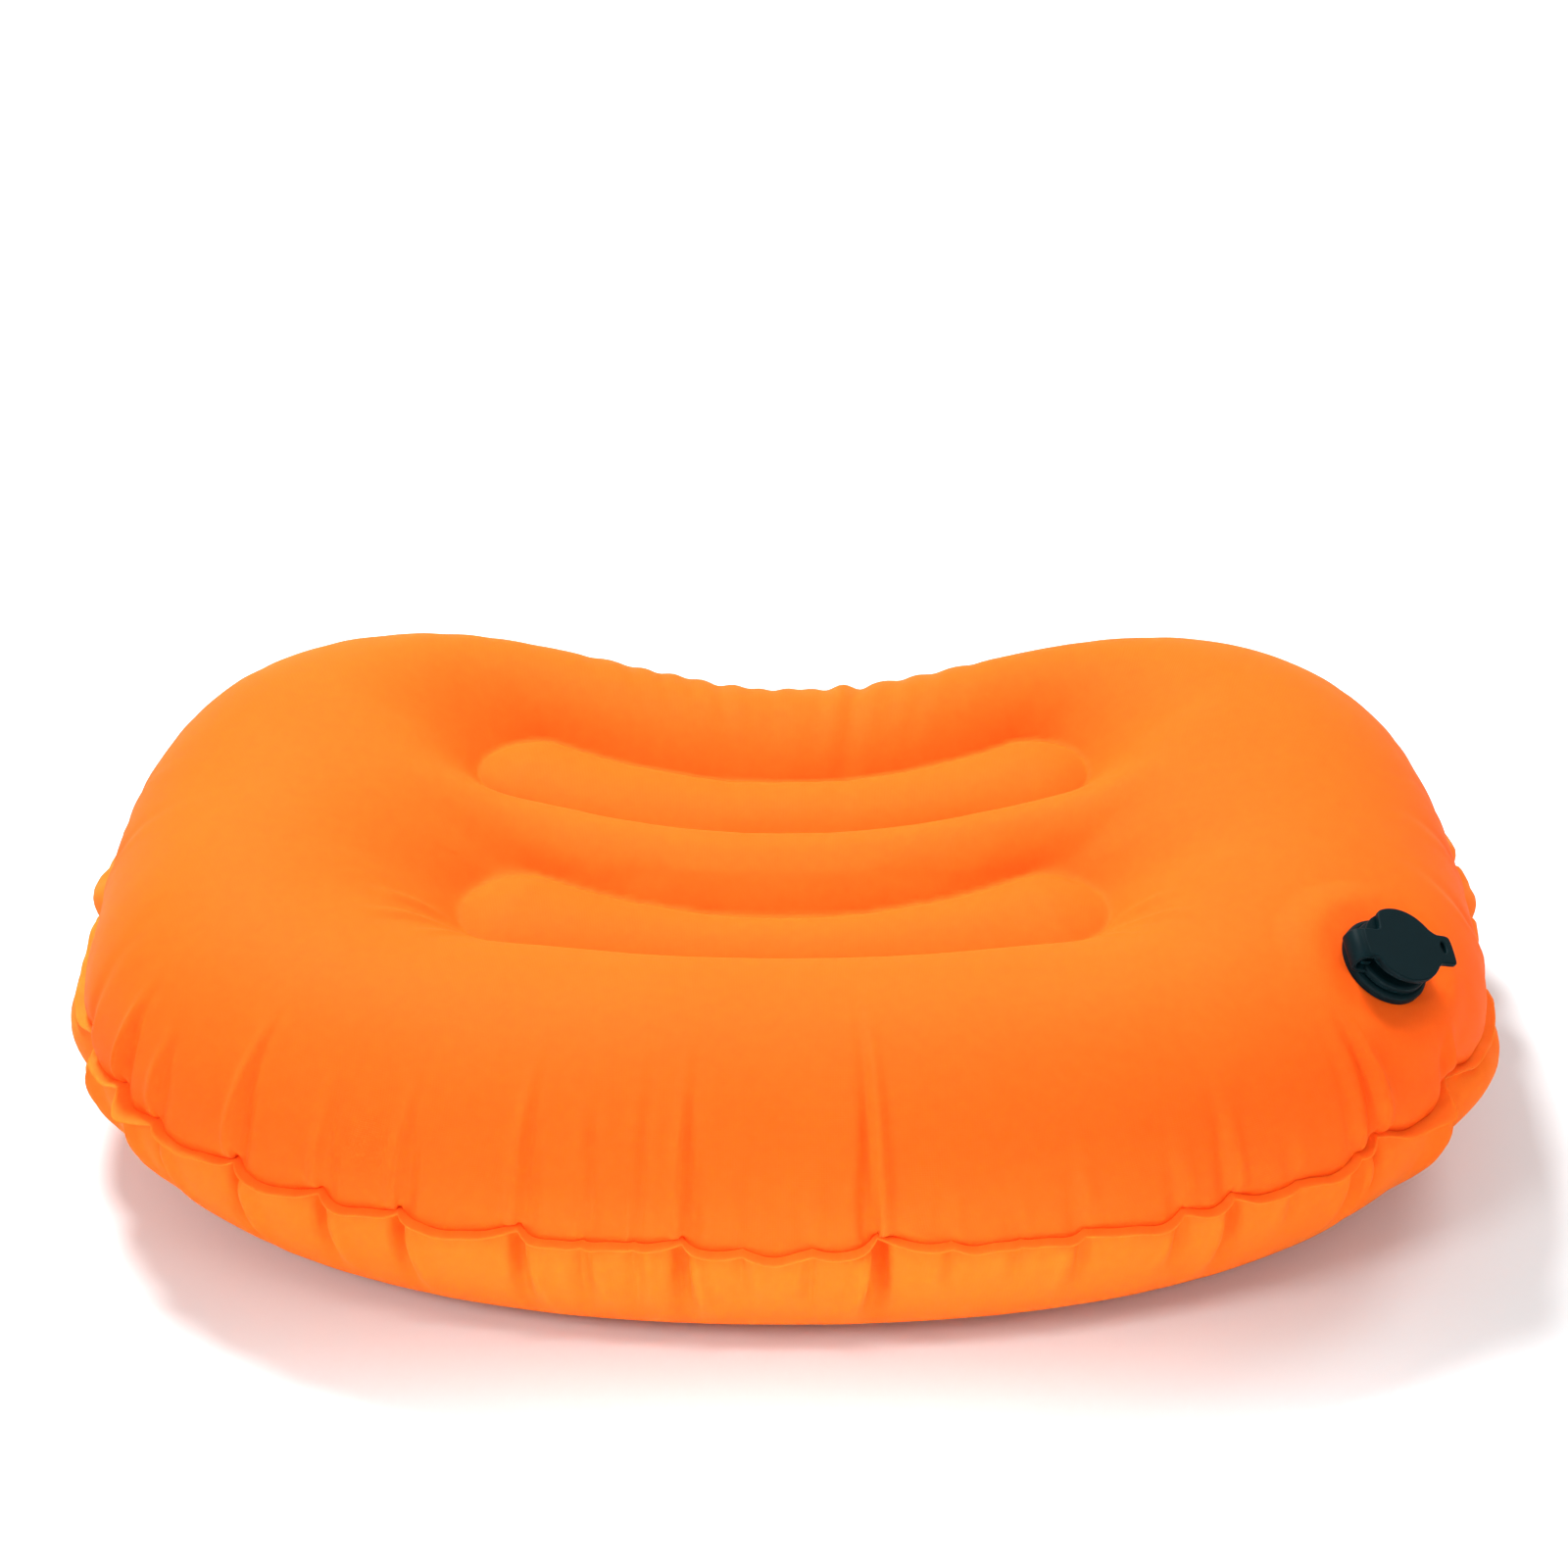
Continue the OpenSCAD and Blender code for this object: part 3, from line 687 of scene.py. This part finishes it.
# the weld margin stands out around the rim as one thin lip, wider at a small ear on each side
LIP_W, LIP_T = 3.5 * MM, 0.8 * MM
LIP_SHAPE = ((-0.6, 0.5), (0.75, 0.5), (0.95, 0.3), (1.0, 0.0), (0.95, -0.3), (0.75, -0.5), (-0.6, -0.5))
EAR_X, EAR_Y, EAR_W = 184 * MM, -76 * MM, 6 * MM
rim3 = (fine_top.p[0] + fine_low.p[0]) / 2
lip_out = np.concatenate([fine_top.out, np.zeros((N_FINE, 1))], 1)
for side in (-1, 1):
    off = np.linalg.norm(fine_top.rim - np.array([side * EAR_X, EAR_Y]), axis=1)
    lip_out *= 1 + 1.6 * np.exp(-off / EAR_W)[:, None]
lip = [rim3 + lip_out * far * LIP_W + np.array([0, 0, up * LIP_T]) for far, up in LIP_SHAPE]
lip_faces = grid_faces(N_FINE, len(lip), True)
# the lip wears the lighter fabric, a painted highlight along the seam
seam_lip = mesh_piece("seam_lip", np.concatenate(lip), lip_faces, [lip_highlight_mat])
lip_flat = np.stack([np.tile(fine_top.s, len(lip)), np.repeat(np.arange(len(lip)) * 0.6 * MM, N_FINE)], 1)
set_flat_uv(seam_lip, lip_flat, lip_faces)
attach(seam_lip, "pillow")

# ---------------------------------------------------------------- valve
def at_valve(points):
    """Points given in millimetres in the valve's own frame, in the shared frame."""
    return VALVE_AT + (np.asarray(points, float) * MM) @ VALVE_R.T


def rounded(points, times=3):
    """Cuts the corners of a closed outline again and again until it is smooth."""
    p = np.array(points, float)
    for _ in range(times):
        q = np.roll(p, -1, 0)
        p = np.stack([0.75 * p + 0.25 * q, 0.25 * p + 0.75 * q], 1).reshape(-1, p.shape[1])
    return p


def plate(name, outlines, z0, z1, edge, mats):
    """A flat moulding with rounded edges: the first outline is its rim, the others are holes."""
    data = bpy.data.curves.new(name, "CURVE")
    data.dimensions = "2D"
    data.fill_mode = "BOTH"
    data.bevel_depth = edge
    data.bevel_resolution = 3
    data.offset = -edge
    data.extrude = (z1 - z0) / 2 - edge
    for outline in outlines:
        spline = data.splines.new("POLY")
        spline.points.add(len(outline) - 1)
        for k, (x, y) in enumerate(outline):
            spline.points[k].co = (x, y, 0, 1)
        spline.use_cyclic_u = True
    shape = bpy.data.objects.new(name + "_shape", data)
    scene.collection.objects.link(shape)
    made = bpy.data.meshes.new_from_object(shape.evaluated_get(bpy.context.evaluated_depsgraph_get()))
    bpy.data.objects.remove(shape)
    pos = np.array([v.co for v in made.vertices]) + np.array([0, 0, (z0 + z1) / 2])
    faces = [list(f.vertices) for f in made.polygons]
    obj = mesh_piece(name, at_valve(pos), faces, mats)
    bpy.data.meshes.remove(made)
    obj.data.set_sharp_from_angle(angle=math.radians(50))
    return obj


def band(name, path, across, half_w, half_t, mats):
    """A rounded strip swept along a path; across gives each station's sideways direction."""
    path, across, half_w = np.array(path, float), np.array(across, float), np.array(half_w, float)
    along = np.gradient(path, axis=0)
    along /= np.linalg.norm(along, axis=1, keepdims=True)
    up = np.cross(along, across)
    up /= np.linalg.norm(up, axis=1, keepdims=True)
    ring = []
    for cx, cy, start in ((1, 1, 0), (-1, 1, 90), (-1, -1, 180), (1, -1, 270)):
        for turn in (0, 30, 60, 90):
            t = math.radians(start + turn)
            ring.append((cx, cy, math.cos(t), math.sin(t)))
    e = half_t * 0.7
    rows = []
    for cx, cy, rx, ry in ring:
        rows.append(path + across * (cx * (half_w - e) + rx * e)[:, None] + up * (cy * (half_t - e) + ry * e))
    k, n = len(ring), len(path)
    verts = np.stack(rows, 1).reshape(-1, 3)
    faces = [[j * k + i, j * k + (i + 1) % k, (j + 1) * k + (i + 1) % k, (j + 1) * k + i]
             for j in range(n - 1) for i in range(k)]
    faces += [list(range(k))[::-1], [(n - 1) * k + i for i in range(k)]]
    return mesh_piece(name, at_valve(verts), faces, mats)


def smooth_path(points, n):
    """n points on a smooth curve through the given ones."""
    p = np.array(points, float)
    p = np.concatenate([2 * p[:1] - p[1:2], p, 2 * p[-1:] - p[-2:-1]])
    w = np.linspace(0, len(points) - 1 - 1e-9, n)
    k = w.astype(int)
    t = (w - k)[:, None]
    a, b, c, d = p[k], p[k + 1], p[k + 2], p[k + 3]
    return curve_between(a, b, c, d, t)


def arc(r, degrees, x=0.0):
    """Points of a circle about (x, 0) at the given angles."""
    return [(x + r * math.cos(math.radians(t)), r * math.sin(math.radians(t))) for t in degrees]


def circle(r, n):
    return arc(r, [360 * k / n for k in range(n)])


for name in ("valve_base", "valve_plug", "valve_cap", "plug_tether", "cap_strap"):
    for place in frame["nodes"][name].material_slots:
        place.material = tpu_mat
for place in frame["nodes"]["check_flap"].material_slots:
    place.material = silicone_mat

# lid: a disc with a pull tab on one side and the strap's leg on the other
outline = (arc(11.9, range(30, 115, 12), 0.5)
           + [(-5.2, 10.2), (-5.9, 8.6), (-6.2, 5.0), (-7.2, 3.9), (-11.6, 3.9), (-12.4, 3.8),
              (-12.4, -4.9), (-11.6, -5.0), (-9.4, -5.2)]
           + arc(11.9, range(-136, -29, 12), 0.5)
           + [(11.6, -5.0), (13.0, -4.7), (16.6, -4.7), (17.4, -4.2), (17.4, 3.4), (16.4, 4.7), (13.4, 4.7),
              (12.6, 4.8)])
hole = [(13.2, -1.2), (14.9, -1.2), (14.9, 2.4), (13.2, 2.4)]
# painted shade: a plate of the dark rubber closes the pull tab's hole from below, standing in for the shade seen
# through it
shade_plate_outline = [(12.2, -2.6), (15.8, -2.6), (15.8, 3.3), (12.2, 3.3)]
lid = plate("cap_plate", [rounded(outline), rounded(hole, 2)], 9.0, 10.9, 0.42, [tpu_mat])
under_disc = plate("cap_seal", [circle(11.2, 64)], 8.5, 9.1, 0.2, [tpu_mat])
boss = plate("cap_boss", [circle(4.9, 48)], 6.1, 8.6, 0.5, [tpu_mat])
tab_shade_plate = plate("tab_web", [rounded(shade_plate_outline, 2)], 8.95, 9.75, 0.2, [tpu_mat])
for piece in (lid, under_disc, boss, tab_shade_plate):
    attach(piece, "cap")
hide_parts("valve_cap")

# the strap leaves the second stage's rim, turns over outside it and runs into the lid
STRAP_STEPS, STRAP_Y = 40, -0.8
bend = [(-10.9, 4.3), (-12.8, 3.95), (-14.3, 4.5), (-15.0, 6.1), (-14.8, 8.2), (-13.6, 9.65), (-11.4, 10.05)]
bend = smooth_path([(x, STRAP_Y, z) for x, z in bend], STRAP_STEPS)
widths = 4.7 + 0.9 * np.linspace(1, 0, STRAP_STEPS) ** 2
strap = band("strap_bend", bend, np.tile([0.0, 1.0, 0.0], (STRAP_STEPS, 1)), widths, 0.72, [tpu_mat])
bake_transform(strap)
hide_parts("cap_strap")

# the tether lies around the collar from the base to the second stage's rim; radius, angle and height of each stop
TETHER_STEPS = 48
stops = [(12.6, 24, 1.5), (13.6, 29, 1.5), (13.8, 41, 1.5), (13.8, 53, 1.5), (13.8, 65, 1.5), (13.8, 76, 1.8),
         (13.5, 84, 2.6), (12.9, 89, 3.4), (11.2, 92, 3.9)]
loop = smooth_path([(r * math.cos(math.radians(t)), r * math.sin(math.radians(t)), z) for r, t, z in stops],
                   TETHER_STEPS)
sideways = np.tile([0.0, 0.0, 1.0], (TETHER_STEPS, 1))
tether = band("tether_band", loop, sideways, np.full(TETHER_STEPS, 0.85), 0.5, [tpu_mat])
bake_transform(tether)
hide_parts("plug_tether")

# ---------------------------------------------------------------- floor, light and camera
WHITE = (0.72, 0.76, 0.77)
WORLD_LIGHT = 0.56
floor_mat, _, floor_bsdf = new_material("floor")
floor_bsdf.inputs["Base Color"].default_value = (*WHITE, 1)
floor_bsdf.inputs["Roughness"].default_value = 0.8
FLOOR = 6.0
corners = [(-FLOOR, -FLOOR, 0), (FLOOR, -FLOOR, 0), (FLOOR, FLOOR, 0), (-FLOOR, FLOOR, 0)]
floor = mesh_piece("floor", corners, [(0, 1, 2, 3)], [floor_mat])

world = bpy.data.worlds.new("studio")
scene.world = world
world.use_nodes = True
world.node_tree.nodes["Background"].inputs[0].default_value = (1, 1, 1, 1)
world.node_tree.nodes["Background"].inputs[1].default_value = WORLD_LIGHT


def area_light(name, loc, size, watts, aim=(0, 0, 0.05)):
    """A round lamp that faces aim."""
    lamp = bpy.data.lights.new(name, "AREA")
    lamp.shape = "DISK"
    lamp.size = size
    lamp.energy = watts
    obj = bpy.data.objects.new(name, lamp)
    scene.collection.objects.link(obj)
    obj.location = loc
    obj.rotation_mode = "QUATERNION"
    obj.rotation_quaternion = (Vector(aim) - Vector(loc)).to_track_quat("-Z", "Y")
    return obj


area_light("key", (-0.42, 0.66, 1.3), 0.45, 35)
area_light("right", (0.75, 0.7, 1.1), 0.6, 6)
area_light("rake", (-0.85, -0.85, 0.95), 0.35, 8)
area_light("front_right", (0.8, -0.9, 0.9), 0.5, 3)
lamp = area_light("bounce", (0, -0.52, 0.4), 0.5, 11, aim=(0, -0.56, 0))
lamp.data.spread = math.radians(75)

CAM_UP = math.radians(36.4)
CAM_DIST = 1.147
CAM_TILT = math.radians(2.5)
CAM_LENS = 88.65
target = Vector((0, 0.0049, 0.045))
back = Vector((0, -math.cos(CAM_UP), math.sin(CAM_UP)))
camera = bpy.data.cameras.new("camera")
camera.sensor_width = 36
camera.lens = CAM_LENS
cam_obj = bpy.data.objects.new("camera", camera)
scene.collection.objects.link(cam_obj)
cam_obj.location = target + back * CAM_DIST
cam_obj.rotation_mode = "QUATERNION"
cam_obj.rotation_quaternion = (-back).to_track_quat("-Z", "Y") @ Quaternion((1, 0, 0), CAM_TILT)
scene.camera = cam_obj
scene.view_settings.view_transform = "Standard"
